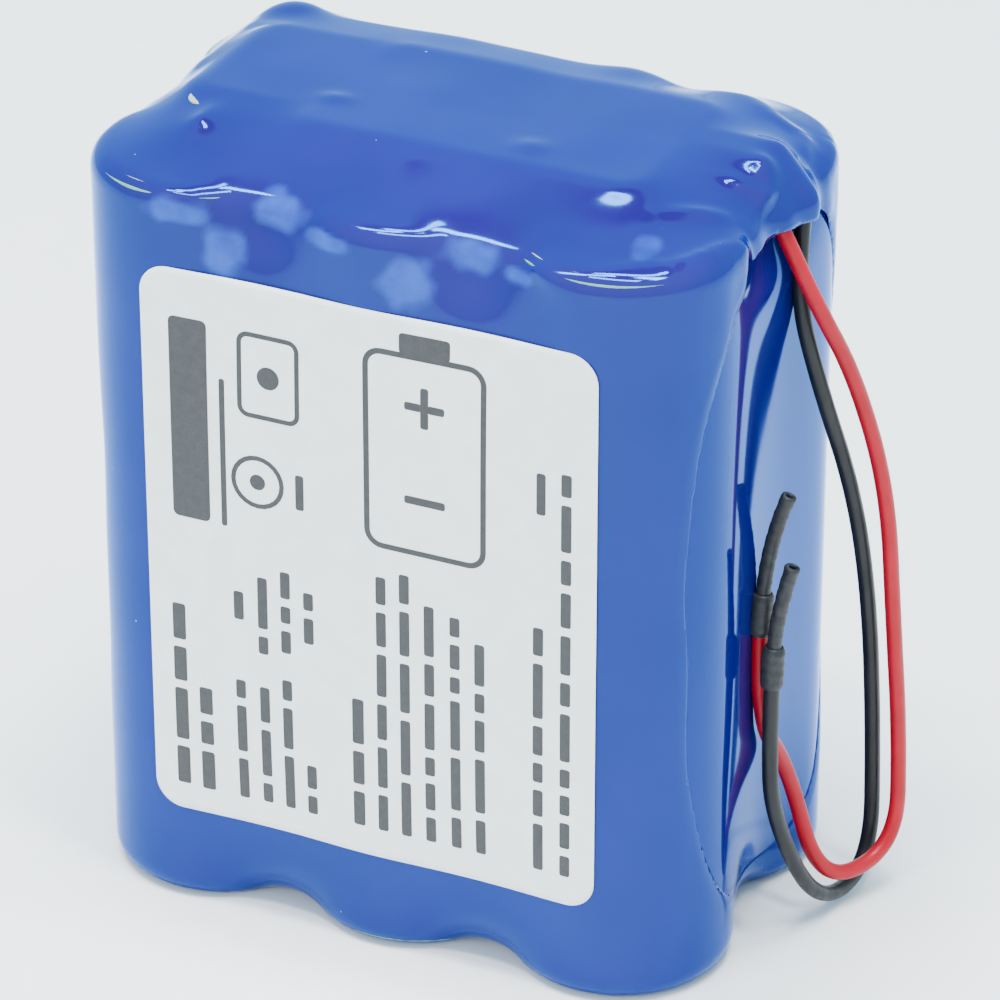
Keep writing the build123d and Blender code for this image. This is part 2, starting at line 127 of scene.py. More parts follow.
# Folds that the shrinking left: start, end, half width, height.
FOLDS = (
    ((-19.5, -18.2, 66.1), (-14.4, -18.2, 65.4), 0.9, 0.30),
    ((-7.4, -17.6, 66.4), (-2.8, -18.2, 65.6), 0.8, 0.28),
    ((12.6, -17.8, 66.4), (18.6, -18.2, 64.6), 0.8, 0.30),
    ((19.0, -17.4, 65.8), (25.0, -13.6, 66.2), 0.7, 0.32),
    ((24.2, -14.6, 66.2), (27.2, -9.8, 66.0), 0.7, 0.40),
    ((25.6, -11.6, 66.4), (27.6, -6.6, 65.4), 0.6, 0.45),
    ((27.4, -4.4, 66.4), (26.0, 1.6, 67.4), 0.7, 0.40),
    ((26.6, 6.4, 66.8), (24.8, 10.8, 67.0), 0.9, 0.42),
    ((27.4, 8.8, 65.0), (26.4, 13.0, 66.0), 0.8, 0.40),
    ((20.6, -9.6, 68.2), (26.2, -4.8, 66.9), 0.8, 0.38),
    ((21.0, 11.6, 68.0), (26.6, 9.6, 66.2), 0.8, 0.36),
    ((22.6, -2.2, 68.9), (27.6, -0.6, 66.6), 0.7, 0.34),
    ((-24.6, 9.4, 67.6), (-20.6, 7.8, 68.9), 0.6, 0.22),
)

# Patches painted paler on the film: a painted reflection of the bright floor in the film's dips at the front
# top edge. Centre and radii.
PAINTED_REFLECTION_PATCHES = (
    ((-16.8, -18.4, 64.6), (2.6, 3.0, 1.1)),
    ((-12.6, -18.4, 61.8), (1.9, 3.0, 2.2)),
    ((-8.2, -17.2, 65.6), (2.2, 2.6, 1.6)),
    ((-3.4, -18.4, 64.6), (2.0, 3.0, 0.8)),
    ((3.6, -18.4, 62.4), (2.3, 3.0, 2.2)),
    ((8.6, -17.2, 65.2), (2.6, 2.6, 1.3)),
    ((12.8, -18.2, 64.6), (1.5, 3.0, 0.7)),
    ((21.8, -12.6, 65.6), (1.3, 2.6, 2.2)),
)

BAR_SEED = 11
# Rows of plain bars on the label, in place of words: x, lowest z, highest z, width of the bars.
BAR_ROWS = (
    (-5.8, 40.3, 45.4, 0.75), (-17.2, 11.6, 29.6, 1.2), (-14.9, 11.5, 21.4, 1.2), (-11.6, 11.5, 23.0, 0.9),
    (-11.6, 28.8, 33.6, 0.9), (-9.4, 11.6, 22.8, 0.9), (-9.4, 26.0, 33.2, 0.9), (-7.3, 11.6, 24.0, 0.9),
    (-7.3, 26.6, 34.2, 0.9), (-5.2, 11.6, 16.6, 0.9), (-5.2, 28.0, 33.8, 0.9), (-0.8, 11.8, 23.9, 1.05),
    (1.4, 11.8, 36.0, 0.9), (3.5, 11.8, 38.0, 0.9), (5.7, 11.8, 34.2, 0.9), (8.0, 11.8, 33.7, 0.9),
    (10.2, 11.8, 33.4, 0.9), (15.4, 11.8, 34.6, 0.9), (17.8, 11.8, 49.4, 0.9), (15.6, 44.9, 48.6, 0.8),
)
# Single bars: x, z, width, height, corner radius. The last five are a battery's cap, minus and plus.
SINGLE_BARS = (
    (-15.7, 46.4, 3.4, 18.2, 0.5), (-12.7, 44.0, 0.5, 13.4, 0.2), (5.4, 57.4, 4.4, 1.8, 0.3),
    (5.4, 43.6, 3.6, 0.7, 0.2), (5.4, 52.0, 0.7, 3.6, 0.2), (4.375, 52.0, 1.45, 0.7, 0.2),
    (6.425, 52.0, 1.45, 0.7, 0.2),
)
DOTS = ((-8.5, 51.6, 1.0), (-9.6, 42.0, 0.7))   # x, z, radius
# Frames: x, z, width, height, corner radius, line width. They are a battery, a square and a ring.
FRAMES = (
    (5.4, 47.6, 10.8, 18.0, 1.6, 0.5),
    (-8.5, 51.6, 5.6, 7.6, 1.0, 0.42),
    (-9.6, 42.0, 4.8, 4.8, 2.4, 0.42),
)


# ---------------------------------------------------------------- mesh helpers
def new_object(name, mesh, material=None, smooth=True):
    piece = bpy.data.objects.new(name, mesh)
    bpy.context.scene.collection.objects.link(piece)
    if material:
        mesh.materials.append(material)
    if smooth:
        mesh.shade_smooth()
    return piece


def mesh_from(name, points_mm, faces):
    mesh = bpy.data.meshes.new(name)
    rows = [[int(corner) for corner in face] for face in faces]
    mesh.from_pydata((np.asarray(points_mm) * MM).tolist(), [], rows)
    mesh.update()
    return mesh


def set_sockets(node, values):
    for socket, value in values.items():
        node.inputs[socket].default_value = value


def solidify(piece, thickness_mm, thin_edge=None):
    """Gives a sheet its thickness, inwards from its outer face; an edge may be thinner."""
    thinnest = 0.3
    modifier = piece.modifiers.new("thickness", "SOLIDIFY")
    modifier.thickness = thickness_mm * MM
    modifier.offset = -1.0
    modifier.use_quality_normals = True
    if thin_edge is not None:
        group = piece.vertex_groups.new(name="full_thickness")
        for index, share in enumerate(thin_edge):
            group.add([index], share, "REPLACE")
        modifier.vertex_group = group.name
        modifier.thickness_vertex_group = thinnest


def tree_of(points, faces):
    return BVHTree.FromPolygons(points.tolist(), faces.tolist())


# ---------------------------------------------------------------- film as a membrane in tension
def block_grid(low, high, step):
    """Surface grid of a block: points and quads."""
    low, high = np.array(low, float), np.array(high, float)
    counts = np.maximum(2, np.round((high - low) / step).astype(int))
    quads = []
    for axis in range(3):
        a, b = (axis + 1) % 3, (axis + 2) % 3
        i, j = np.meshgrid(np.arange(counts[a]), np.arange(counts[b]), indexing="ij")
        for side in (0, 1):
            turns = ((0, 0), (1, 0), (1, 1), (0, 1)) if side else ((0, 0), (0, 1), (1, 1), (1, 0))
            corners = []
            for da, db in turns:
                corner = np.zeros(i.shape + (3,), int)
                corner[..., axis] = side * counts[axis]
                corner[..., a] = i + da
                corner[..., b] = j + db
                corners.append(corner.reshape(-1, 3))
            quads.append(np.stack(corners, 1))
    quads = np.concatenate(quads)
    span = counts + 1
    key = (quads[..., 0] * span[1] + quads[..., 1]) * span[2] + quads[..., 2]
    _, first, inverse = np.unique(key.ravel(), return_index=True, return_inverse=True)
    lattice = quads.reshape(-1, 3)[first]
    return low + (high - low) * lattice / counts, inverse.reshape(-1, 4)


def neighbours_of(faces, count):
    """Neighbour table, four wide; a block's corner points repeat one neighbour."""
    edges = np.concatenate([faces[:, [k, (k + 1) % 4]] for k in range(4)])
    edges = np.unique(np.sort(edges, axis=1), axis=0)
    both = np.concatenate([edges, edges[:, ::-1]])
    both = both[np.argsort(both[:, 0], kind="stable")]
    starts = np.searchsorted(both[:, 0], np.arange(count))
    sizes = np.diff(np.append(starts, len(both)))
    slots = np.arange(4)[None, :] % sizes[:, None]
    return both[:, 1][starts[:, None] + slots]


def push_from_pads(points, centre, half, corner, low, high, rim):
    """Moves points out of upright pads: rounded rectangles in plan, with a rounded rim."""
    local = points[:, :2] - centre
    reach = np.abs(local) - (np.asarray(half) - corner)
    widest = reach.max(axis=1, keepdims=True)
    beyond = np.maximum(reach, 0)
    span = np.linalg.norm(beyond, axis=1)
    side = span + np.minimum(widest[:, 0], 0) - corner + rim
    above = points[:, 2] - (low + high) / 2
    end = np.abs(above) - ((high - low) / 2 - rim)
    outside = np.hypot(np.maximum(side, 0), np.maximum(end, 0))
    depth = rim - (outside + np.minimum(np.maximum(side, end), 0))
    inside = depth > 0
    on_rim = (side > 0) & (end > 0)
    sideways = np.where(on_rim, side / np.maximum(outside, TINY), side >= end)
    lift = np.where(on_rim, end / np.maximum(outside, TINY), side < end)
    outward = np.where((span > TINY)[:, None], beyond, reach == widest) * np.sign(local)
    outward /= np.maximum(np.linalg.norm(outward, axis=1, keepdims=True), TINY)
    move = np.column_stack([outward * (sideways * depth)[:, None], np.sign(above) * lift * depth])
    points[inside] += move[inside]


def push_from_cells(points):
    """Moves points out of the six cells."""
    column = np.clip(np.round(points[:, 0] / CELL_PITCH), -1, 1) * CELL_PITCH
    row = np.where(points[:, 1] < 0, -ROW_Y, ROW_Y)
    half = (INNER_RADIUS, INNER_RADIUS)
    push_from_pads(points, np.stack([column, row], 1), half, INNER_RADIUS, FILM_FLOOR, CELL_TOP, CELL_RIM)


def push_from_lump(points, centre, radii):
    """Moves points out of an ellipsoid."""
    local = (points - centre) / radii
    distance = np.maximum(np.linalg.norm(local, axis=1), TINY)
    inside = distance < 1
    points[inside] = (centre + local / distance[:, None] * radii)[inside]


def push_over_rod(points, start, end, radius, outward):
    """Lifts points that lie on a straight rod, or a little inside it, to its outer side."""
    inside_reach = 5.0
    start, end, outward = (np.asarray(each, float) for each in (start, end, outward))
    along = end - start
    flat_along = along - outward * (along @ outward)
    flat_away = (points - start) - np.outer((points - start) @ outward, outward)
    place = np.clip(flat_away @ flat_along / max(flat_along @ flat_along, TINY), 0, 1)
    distance = np.linalg.norm(flat_away - place[:, None] * flat_along, axis=1)
    cover = (start + place[:, None] * along) @ outward + np.sqrt(np.maximum(radius ** 2 - distance ** 2, 0))
    height = points @ outward
    under = (distance < radius) & (height < cover) & (height > cover - inside_reach)
    points[under] += ((cover - height)[:, None] * outward)[under]


def link_wire_rods():
    """Runs of the two link wires that cross the front slope, as rods."""
    clearance = 0.28
    rods = []
    for node in ("negative_link_wire", "second_tap_wire"):
        low, high = (np.array(corner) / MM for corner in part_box(node))
        radius = (high[0] - low[0]) / 2
        x, front, top = (low[0] + high[0]) / 2, low[1] + radius, high[2] - radius
        rods.append(((x, front, top), (x, high[1], top), radius + clearance, UP))
    return rods


def tail_points(route, node):
    """Line of a lead's tail, from the film's edge back over the cells to the board."""
    straight, shoulder_x, shoulder_drop = 1.6, 25.2, 0.12
    exit_point, second = np.array(route[0]), np.array(route[1])
    rising = exit_point + (exit_point - second) / np.linalg.norm(exit_point - second) * straight
    low, high = (np.array(corner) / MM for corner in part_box(node))
    top = high[2] - LEAD_RADIUS
    shoulder = np.array((shoulder_x, rising[1], top - shoulder_drop))
    return [exit_point, rising, shoulder, np.array((low[0], rising[1], top))]


def tail_rods(part):
    """Tails as rods. The part "board" lies on the pack, and the part "hood" comes down the side."""
    clearance = 0.3
    rods = []
    for route, node in ((RED_ROUTE, "red_lead_tail"), (BLACK_ROUTE, "black_lead_tail")):
        line = tail_points(route, node)
        if part == "board":
            rods.append((line[2], line[3], LEAD_RADIUS + clearance, UP))
        else:
            rods.append((line[1], line[2], LEAD_RADIUS + clearance, SLANTING))
            rods.append((line[0], line[1], LEAD_RADIUS + clearance, SIDEWAYS))
    return rods


def keep_off(points, rods):
    """Moves points out of everything that the film is stretched over."""
    push_from_cells(points)
    top = points[:, 2] > TOP_FROM
    upper = points[top]
    for pad in TOP_PADS:
        push_from_pads(upper, *pad)
    for centre, radii in TOP_LUMPS:
        push_from_lump(upper, np.array(centre), np.array(radii))
    for rod in rods:
        push_over_rod(upper, *rod)
    points[top] = upper
    points[:, 2] = np.maximum(points[:, 2], FILM_FLOOR)


def relax(points, neighbours, rounds, rods):
    """Shrinks the membrane step by step, keeping it off the pieces inside."""
    stride = 0.9
    for _ in range(rounds):
        points += stride * (points[neighbours].mean(axis=1) - points)
        keep_off(points, rods)
    return points


def shrunk_film(rods):
    """Closed membrane round the whole pack, coarse first and then fine."""
    low, high = (-28.2, -18.9, 0.0), (28.2, 18.9, 70.0)
    coarse = None
    for doublings, rounds in ((2, 400), (1, 220), (0, 220)):
        points, faces = block_grid(low, high, MESH_STEP * 2 ** doublings)
        neighbours = neighbours_of(faces, len(points))
        if coarse:
            points = np.array([coarse.find_nearest(Vector(point))[0] for point in points])
        points = relax(points, neighbours, rounds, rods)
        coarse = tree_of(points, faces)
    return points, faces, neighbours


def normals_of(points, faces):
    """Outward direction at each point of a mesh of quads."""
    normals = np.zeros_like(points)
    across = points[faces[:, 2]] - points[faces[:, 0]]
    other = points[faces[:, 3]] - points[faces[:, 1]]
    for k in range(4):
        np.add.at(normals, faces[:, k], np.cross(across, other))
    return normals / np.maximum(np.linalg.norm(normals, axis=1, keepdims=True), TINY)


def fold_height(points, start, end, width, height):
    """Ridge along a line, tapering to its ends."""
    blunt_end = 0.08
    start, end = np.array(start), np.array(end)
    along = end - start
    place = (points - start) @ along / (along @ along)
    distance = np.linalg.norm(points - (start + np.clip(place, 0, 1)[:, None] * along), axis=1)
    taper = np.sin(np.pi * np.clip(place, blunt_end, 1 - blunt_end))
    return height * taper * np.exp(-(distance / width) ** 2)


def dent_depth(points):
    """How far the film sinks between the cells, or rises where a depth is negative."""
    depth = np.zeros(len(points))
    for centre, radii, deepest in DENTS:
        spread = np.linalg.norm((points - centre) / radii, axis=1)
        depth += deepest * np.exp(-spread ** 2)
    return depth


def ripple_height(points):
    """Slow unevenness of the film, stronger on the top than on the sides."""
    top_ripple, side_ripple, wavelength = 0.16, 0.035, 8.0
    grows_from, grows_over = 62, 4
    wave = np.array([noise.noise(Vector(point) / wavelength) for point in points])
    upper = np.clip((points[:, 2] - grows_from) / grows_over, 0, 1)
    return wave * (side_ripple + (top_ripple - side_ripple) * upper)


def refine(mesh):
    """Halves the mesh step over the top and along the cut edges, and smooths what that leaves."""
    edge_band, unsmoothed, smoothing_rounds = 1.10, 1.0, 3
    work = bmesh.new()
    work.from_mesh(mesh)
    points = np.array([vertex.co[:] for vertex in work.verts]) / MM
    near_edge = (opening_value(points) < edge_band) & on_end_faces(points)
    chosen = (points[:, 2] > TOP_FROM) | near_edge
    work.verts.ensure_lookup_table()
    edges = [edge for edge in work.edges if chosen[edge.verts[0].index] and chosen[edge.verts[1].index]]
    bmesh.ops.subdivide_edges(work, edges=edges, cuts=1, use_grid_fill=True)
    lowest = (TOP_FROM + unsmoothed) * MM
    inner = [vertex for vertex in work.verts if vertex.co.z > lowest and not vertex.is_boundary]
    for _ in range(smoothing_rounds):
        bmesh.ops.smooth_vert(work, verts=inner, factor=0.5,
                              use_axis_x=True, use_axis_y=True, use_axis_z=True)
    work.to_mesh(mesh)
    work.free()


def add_details(mesh):
    """Adds ripples, folds and dents to the film."""
    refine(mesh)
    points = np.array([vertex.co[:] for vertex in mesh.vertices]) / MM
    normals = np.array([vertex.normal[:] for vertex in mesh.vertices])
    height = ripple_height(points)
    for fold in FOLDS:
        height += fold_height(points, *fold)
    height -= dent_depth(points)
    points += normals * height[:, None]
    points[:, 0] += pleat_height(points) * np.sign(points[:, 0])
    points -= normals * (EDGE_DROP * (1 - edge_share(points)) ** 2)[:, None]
    points[:, 2] = np.maximum(points[:, 2], 0)
    mesh.vertices.foreach_set("co", (points * MM).ravel())
    mesh.update()
    return points


# ---------------------------------------------------------------- outer and inner film
def opening_value(points):
    """Below 1 inside the end openings, and 1 on their edge."""
    across, up = points[:, 1], points[:, 2] - OPENING_CENTRE
    angle = np.arctan2(up / OPENING_HALF_HEIGHT, across / OPENING_HALF_WIDTH)
    waver = 1
    for share, count, start in OPENING_WAVES:
        waver = waver + share * np.sin(count * angle + start)
    width_share = np.abs(across) / OPENING_HALF_WIDTH
    height_share = np.abs(up) / OPENING_HALF_HEIGHT
    return (width_share ** OPENING_POWER + height_share ** OPENING_POWER) ** (1 / OPENING_POWER) / waver


def on_end_faces(points):
    return np.abs(points[:, 0]) > END_FACES_FROM


def edges_of(faces):
    """Every edge once, and how many faces use it."""
    edges = np.concatenate([faces[:, [k, (k + 1) % 4]] for k in range(4)])
    return np.unique(np.sort(edges, axis=1), axis=0, return_counts=True)


def only_used(points, faces):
    used, inverse = np.unique(faces.ravel(), return_inverse=True)
    return points[used], inverse.reshape(faces.shape)


def onto_oval(place):
    """Moves a place, seen along X, onto the edge of the opening."""
    rounds = 3
    for _ in range(rounds):
        scale = 1 / opening_value(place[None])[0]
        place = np.array((place[0], place[1] * scale, OPENING_CENTRE + (place[2] - OPENING_CENTRE) * scale))
    return place


def sums_over(points, pairs):
    """For each point, the sum of the points that it is paired with, and their number."""
    total, count = np.zeros_like(points), np.zeros(len(points))
    for a, b in (pairs.T, pairs.T[::-1]):
        np.add.at(total, a, points[b])
        np.add.at(count, a, 1)
    return total, count


def even_out(points, faces, near_edge, fixed, tree):
    """Spreads the points beside the cut edge evenly over the film."""
    rounds = 6
    edges = edges_of(faces)[0]
    moving = near_edge & ~fixed
    for _ in range(rounds):
        total, count = sums_over(points, edges)
        points[moving] = (total / count[:, None])[moving]
        for index in np.flatnonzero(moving):
            points[index] = tree.find_nearest(Vector(points[index]))[0]


def space_out(points, rim):
    """Moves each point of the cut edge towards the middle of its two neighbours."""
    total, count = sums_over(points, rim)
    inner = count > 0
    points[inner] = (points[inner] + total[inner] / count[inner, None]) / 2


def cut_openings(points, faces):
    """Leaves out the faces in the two oval openings and draws the cut edge onto the oval."""
    rounds, edge_band = 8, 1.14
    tree = tree_of(points, faces)
    middles = points[faces].mean(axis=1)
    kept = faces[~((opening_value(middles) < 1) & on_end_faces(middles))]
    points, kept = only_used(points, kept)
    pairs, uses = edges_of(kept)
    rim = pairs[uses == 1]
    fixed = np.zeros(len(points), bool)
    fixed[rim.ravel()] = True
    for _ in range(rounds):
        space_out(points, rim)
        for index in np.flatnonzero(fixed):
            place = onto_oval(points[index])
            outside = Vector((math.copysign(FAR, place[0]), place[1], place[2]))
            points[index] = tree.ray_cast(outside, Vector((-outside.x, 0, 0)))[0]
    near_edge = (opening_value(points) < edge_band) & on_end_faces(points)
    even_out(points, kept, near_edge, fixed, tree)
    return points, kept


def edge_share(points):
    """0 on the cut edge, rising to 1 at a distance from it."""
    reach = 1.6
    radius = np.hypot(points[:, 1], points[:, 2] - OPENING_CENTRE)
    distance = np.clip((opening_value(points) - 1) * radius / reach, 0, 1)
    return np.where(on_end_faces(points), distance, 1.0)


def pleat_height(points):
    """The cut edge pleats at the top of the opening, where it had the most to shrink."""
    pleat, reach, turn_per_mm, start = 0.28, 2.5, 1.5, 0.8
    arch_from, arch_over = 59, 3
    radius = np.hypot(points[:, 1], points[:, 2] - OPENING_CENTRE)
    distance = np.maximum((opening_value(points) - 1) * radius, 0)
    arch = np.clip((points[:, 2] - arch_from) / arch_over, 0, 1) * np.exp(-distance / reach)
    waves = 0.5 + 0.5 * np.sin(points[:, 1] * turn_per_mm + start)
    return pleat * arch * waves * on_end_faces(points)


def store_painted_reflection(mesh, points):
    """Stores where the film gets its painted reflection, a paler patch, for its material."""
    wavelength, unevenness, widest, fade = 1.5, 0.35, 1.15, 0.45
    wobble = np.array([noise.noise(Vector(point) / wavelength) for point in points])
    painted_share = np.zeros(len(points))
    for centre, radii in PAINTED_REFLECTION_PATCHES:
        spread = np.linalg.norm((points - centre) / radii, axis=1) + unevenness * wobble
        painted_share = np.maximum(painted_share, np.clip((widest - spread) / fade, 0, 1))
    mesh.attributes.new("painted_reflection", "FLOAT", "POINT").data.foreach_set("value", painted_share)


def outer_film(points, faces):
    """The film outside, open over both ends of the pack; only its foot follows the waist."""
    foot_height = 18.0
    points = points + normals_of(points, faces) * OUTER_OFFSET
    points = waist(points, highest=foot_height)
    points, faces = cut_openings(points, faces)
    mesh = mesh_from("outer_film", points, faces)
    detailed = add_details(mesh)
    store_painted_reflection(mesh, detailed)
    tree = BVHTree.FromPolygons(detailed.tolist(), [list(face.vertices) for face in mesh.polygons])
    piece = new_object("outer_film", mesh, film_material())
    solidify(piece, OUTER_FILM, edge_share(detailed))
    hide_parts("outer_sleeve")
    return piece, tree


def waist(points, highest=None):
    """Draws film in between the two end cells, deepest at the top; it may end at a given height."""
    ends_at, ends_over = 29.5, 3.5
    deepens_at, deepens_over = 25.5, 3
    fades_over = 6
    across = np.clip(np.abs(points[:, 1]) / (WAIST_CHORD / 2), 0, 1)
    height = points[:, 2] - OPENING_CENTRE
    up = np.clip((np.abs(height) - ends_at) / ends_over, 0, 1)
    near_top = np.clip((height - deepens_at) / deepens_over, 0, 1)
    depth = WAIST_DEPTH + (WAIST_DEPTH_TOP - WAIST_DEPTH) * near_top
    depth *= np.cos(across * np.pi / 2) ** 2 * np.cos(up * np.pi / 2) ** 2
    if highest:
        depth *= np.clip((highest - points[:, 2]) / fades_over, 0, 1)
    points[:, 0] -= np.sign(points[:, 0]) * depth * on_end_faces(points)
    return points


def inner_film(points, faces):
    """The film under the outer one, with a slot at the top of the right end for the leads."""
    smoothed_from, smoothed_to, rounds = 4, 64, 8
    points = waist(points)
    neighbours = neighbours_of(faces, len(points))
    ends = on_end_faces(points) & (points[:, 2] > smoothed_from) & (points[:, 2] < smoothed_to)
    for _ in range(rounds):
        points[ends] += 0.5 * (points[neighbours].mean(axis=1) - points)[ends]
    points -= normals_of(points, faces) * dent_depth(points)[:, None]
    middles = points[faces].mean(axis=1)
    from_slot = np.abs(middles - SLOT_CENTRE) / SLOT_REACH
    kept = faces[~(from_slot.max(axis=1) < 1)]
    points, faces = only_used(points, kept)
    piece = new_object("inner_film", mesh_from("inner_film", points, faces), film_material("inner"))
    solidify(piece, INNER_FILM)
    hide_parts("inner_sleeve")
    return piece


# ---------------------------------------------------------------- label
def front_of(tree, x, z):
    """How far forward a surface stands at a point of the front."""
    return tree.ray_cast(Vector((x, -FAR, z)), Vector((0, 1, 0)))[0].y


def rounded_columns():
    """Columns of the label: x, lowest z and highest z, with rounded corners."""
    inner_count = 60
    columns = []
    corner_steps = [LABEL_CORNER * (1 - math.cos(math.radians(turn))) for turn in range(0, 91, 10)]
    width = LABEL_RIGHT - LABEL_LEFT
    inner_steps = np.linspace(LABEL_CORNER, width - LABEL_CORNER, inner_count)[1:-1]
    steps = corner_steps + list(inner_steps) + [width - step for step in reversed(corner_steps)]
    for step in steps:
        inset = min(step, width - step)
        sag = LABEL_CORNER - math.sqrt(max(0.0, LABEL_CORNER ** 2 - max(0.0, LABEL_CORNER - inset) ** 2))
        columns.append((LABEL_LEFT + step, LABEL_BOTTOM + sag, LABEL_TOP - sag))
    return columns


def stiffened(heights):
    """Smooths the label's shape, since paper bridges the film's small ripples."""
    rounds = 60
    for _ in range(rounds):
        padded = np.pad(heights, 1, mode="edge")
        sides = padded[:-2, 1:-1] + padded[2:, 1:-1] + padded[1:-1, :-2] + padded[1:-1, 2:]
        heights = (heights + sides / 4) / 2
    return heights


def label(tree):
    """Paper label, laid on the front of the outer film."""
    rows = 84
    columns = rounded_columns()
    across = np.array([[x] * rows for x, _, _ in columns])
    up = np.array([np.linspace(low, high, rows) for _, low, high in columns])
    film = np.array([[front_of(tree, x, z) for x, z in zip(*line)] for line in zip(across, up)])
    smooth = stiffened(film)
    smooth -= np.maximum(smooth - film, 0).max() + LABEL_THICKNESS
    points = np.stack([across, smooth, up], axis=2).reshape(-1, 3)
    faces = []
    for i in range(len(columns) - 1):
        for j in range(rows - 1):
            first = i * rows + j
            faces.append((first, first + rows, first + rows + 1, first + 1))
    faces = np.array(faces)
    piece = new_object("label_sheet", mesh_from("label_sheet", points, faces), label_paper())
    solidify(piece, LABEL_THICKNESS)
    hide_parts("label")
    return piece, tree_of(points, faces)


def bar(x, z, width, height, corner=0.2):
    """Bar with rounded corners, as pairs of points across it from one end to the other."""
    longest_step = 0.8
    turns = [math.radians(turn) for turn in (0, 30, 60, 90)]
    round_end = [(corner * (1 - math.cos(turn)), corner * (1 - math.sin(turn))) for turn in turns]
    middle = np.linspace(corner, height - corner, max(2, round(height / longest_step)) + 1)[1:-1]
    stations = round_end + [(place, 0.0) for place in middle]
    stations += [(height - up, inset) for up, inset in reversed(round_end)]
    half, bottom = width / 2, z - height / 2
    return [((x - half + inset, bottom + up), (x + half - inset, bottom + up)) for up, inset in stations]


def disc(x, z, radius):
    """Round dot, as pairs of points across it from bottom to top."""
    steps = 16
    stations = []
    for k in range(1, steps):
        angle = math.pi * k / steps
        half_width, level = radius * math.sin(angle), z - radius * math.cos(angle)
        stations.append(((x - half_width, level), (x + half_width, level)))
    return stations


def frame_line(x, z, width, height, corner, line):
    """Rounded frame of even line width, as pairs of points round it, outer and inner."""
    half_x, half_z = width / 2 - corner, height / 2 - corner
    corners = []
    for quarter, (side_x, side_z) in enumerate(((1, 1), (-1, 1), (-1, -1), (1, -1))):
        for turn in range(0, 91, 15):
            angle = math.radians(turn + 90 * quarter)
            direction = (math.cos(angle), math.sin(angle))
            centre = (x + side_x * half_x, z + side_z * half_z)
            corners.append(tuple((centre[0] + direction[0] * reach, centre[1] + direction[1] * reach)
                                 for reach in (corner, corner - line)))
    return with_steps_between(corners)


def with_steps_between(pairs):
    """Adds pairs along the long runs of a closed frame, so that it can follow the label."""
    longest_step = 1.0
    stations = []
    for pair, following in zip(pairs, pairs[1:] + pairs[:1]):
        run = math.dist(pair[0], following[0])
        if run < TINY:
            continue
        count = max(1, round(run / longest_step))
        for k in range(count):
            share = k / count
            stations.append(tuple(tuple(a + (b - a) * share for a, b in zip(here, there))
                                  for here, there in zip(pair, following)))
    return stations


def bar_row(x, bottom, top, width, source):
    """A row of plain bars of random lengths, in place of words."""
    gap, shortest, longest = 0.75, 1.5, 5.2
    bars = []
    place = bottom
    while place < top - shortest:
        length = min(source.uniform(shortest, longest), top - place)
        bars.append(bar(x, place + length / 2, width, length))
        place += length + gap
    return bars


def solid_marks():
    """Solid marks of the label, none of them lettering."""
    source = random.Random(BAR_SEED)
    marks = [bar(*each) for each in SINGLE_BARS] + [disc(*each) for each in DOTS]
    for row in BAR_ROWS:
        marks += bar_row(*row, source)
    return marks


def add_ink(points, faces, stations, closed, place):
    """Thin closed slab on the label along pairs of points; a closed one runs round to its start."""
    base = len(points)
    for left, right in stations:
        for x, z in (left, right):
            points += [(x, place(x, z) - PRINT_LIFT, z), (x, place(x, z) + PRINT_LIFT / 2, z)]
    count = len(stations)
    for k in range(count if closed else count - 1):
        a, b = base + 4 * k, base + 4 * ((k + 1) % count)
        faces += [(a, a + 2, b + 2, b), (a + 1, b + 1, b + 3, a + 3)]
        faces += [(a, b, b + 1, a + 1), (a + 2, a + 3, b + 3, b + 2)]
    if not closed:
        last = base + 4 * (count - 1)
        faces += [(base, base + 1, base + 3, base + 2), (last, last + 2, last + 3, last + 1)]


def label_print(tree):
    """Everything printed on the label, as slabs of ink."""
    def place(x, z):
        return front_of(tree, x, z)

    points, faces = [], []
    for mark in solid_marks():
        add_ink(points, faces, mark, False, place)
    for each in FRAMES:
        add_ink(points, faces, frame_line(*each), True, place)
    piece = new_object("label_print", mesh_from("label_print", points, faces), ink(), smooth=False)
    return piece


# ---------------------------------------------------------------- leads
def spline_through(name, route):
    """Open NURBS curve with the route's points as its control points."""
    data = bpy.data.curves.new(name, "CURVE")
    data.dimensions = "3D"
    data.resolution_u = 14
    spline = data.splines.new("NURBS")
    spline.points.add(len(route) - 1)
    for point, place in zip(spline.points, route):
        point.co = (place[0] * MM, place[1] * MM, place[2] * MM, 1)
    spline.order_u = 3
    spline.use_endpoint_u = True
    piece = bpy.data.objects.new(name, data)
    bpy.context.scene.collection.objects.link(piece)
    return piece


def line_of(route):
    """Points along a route's spline, in millimetres."""
    guide = spline_through("guide", route)
    bpy.context.view_layer.update()
    mesh = bpy.data.meshes.new_from_object(guide)
    line = np.array([vertex.co[:] for vertex in mesh.vertices]) / MM
    curve = guide.data
    bpy.data.objects.remove(guide)
    bpy.data.curves.remove(curve)
    bpy.data.meshes.remove(mesh)
    return line


def runs_of(line):
    """Distances from each point of a line to the next."""
    return np.linalg.norm(np.diff(line, axis=0), axis=1)


def at_distances(line, distances):
    """Places and directions at distances along a line."""
    step = 0.25
    line = line[np.append(True, runs_of(line) > TINY)]
    travelled = np.append(0, np.cumsum(runs_of(line)))

    def places_at(where):
        return np.column_stack([np.interp(where, travelled, line[:, axis]) for axis in range(3)])

    directions = places_at(distances + step) - places_at(distances - step)
    return places_at(distances), directions / np.linalg.norm(directions, axis=1, keepdims=True)


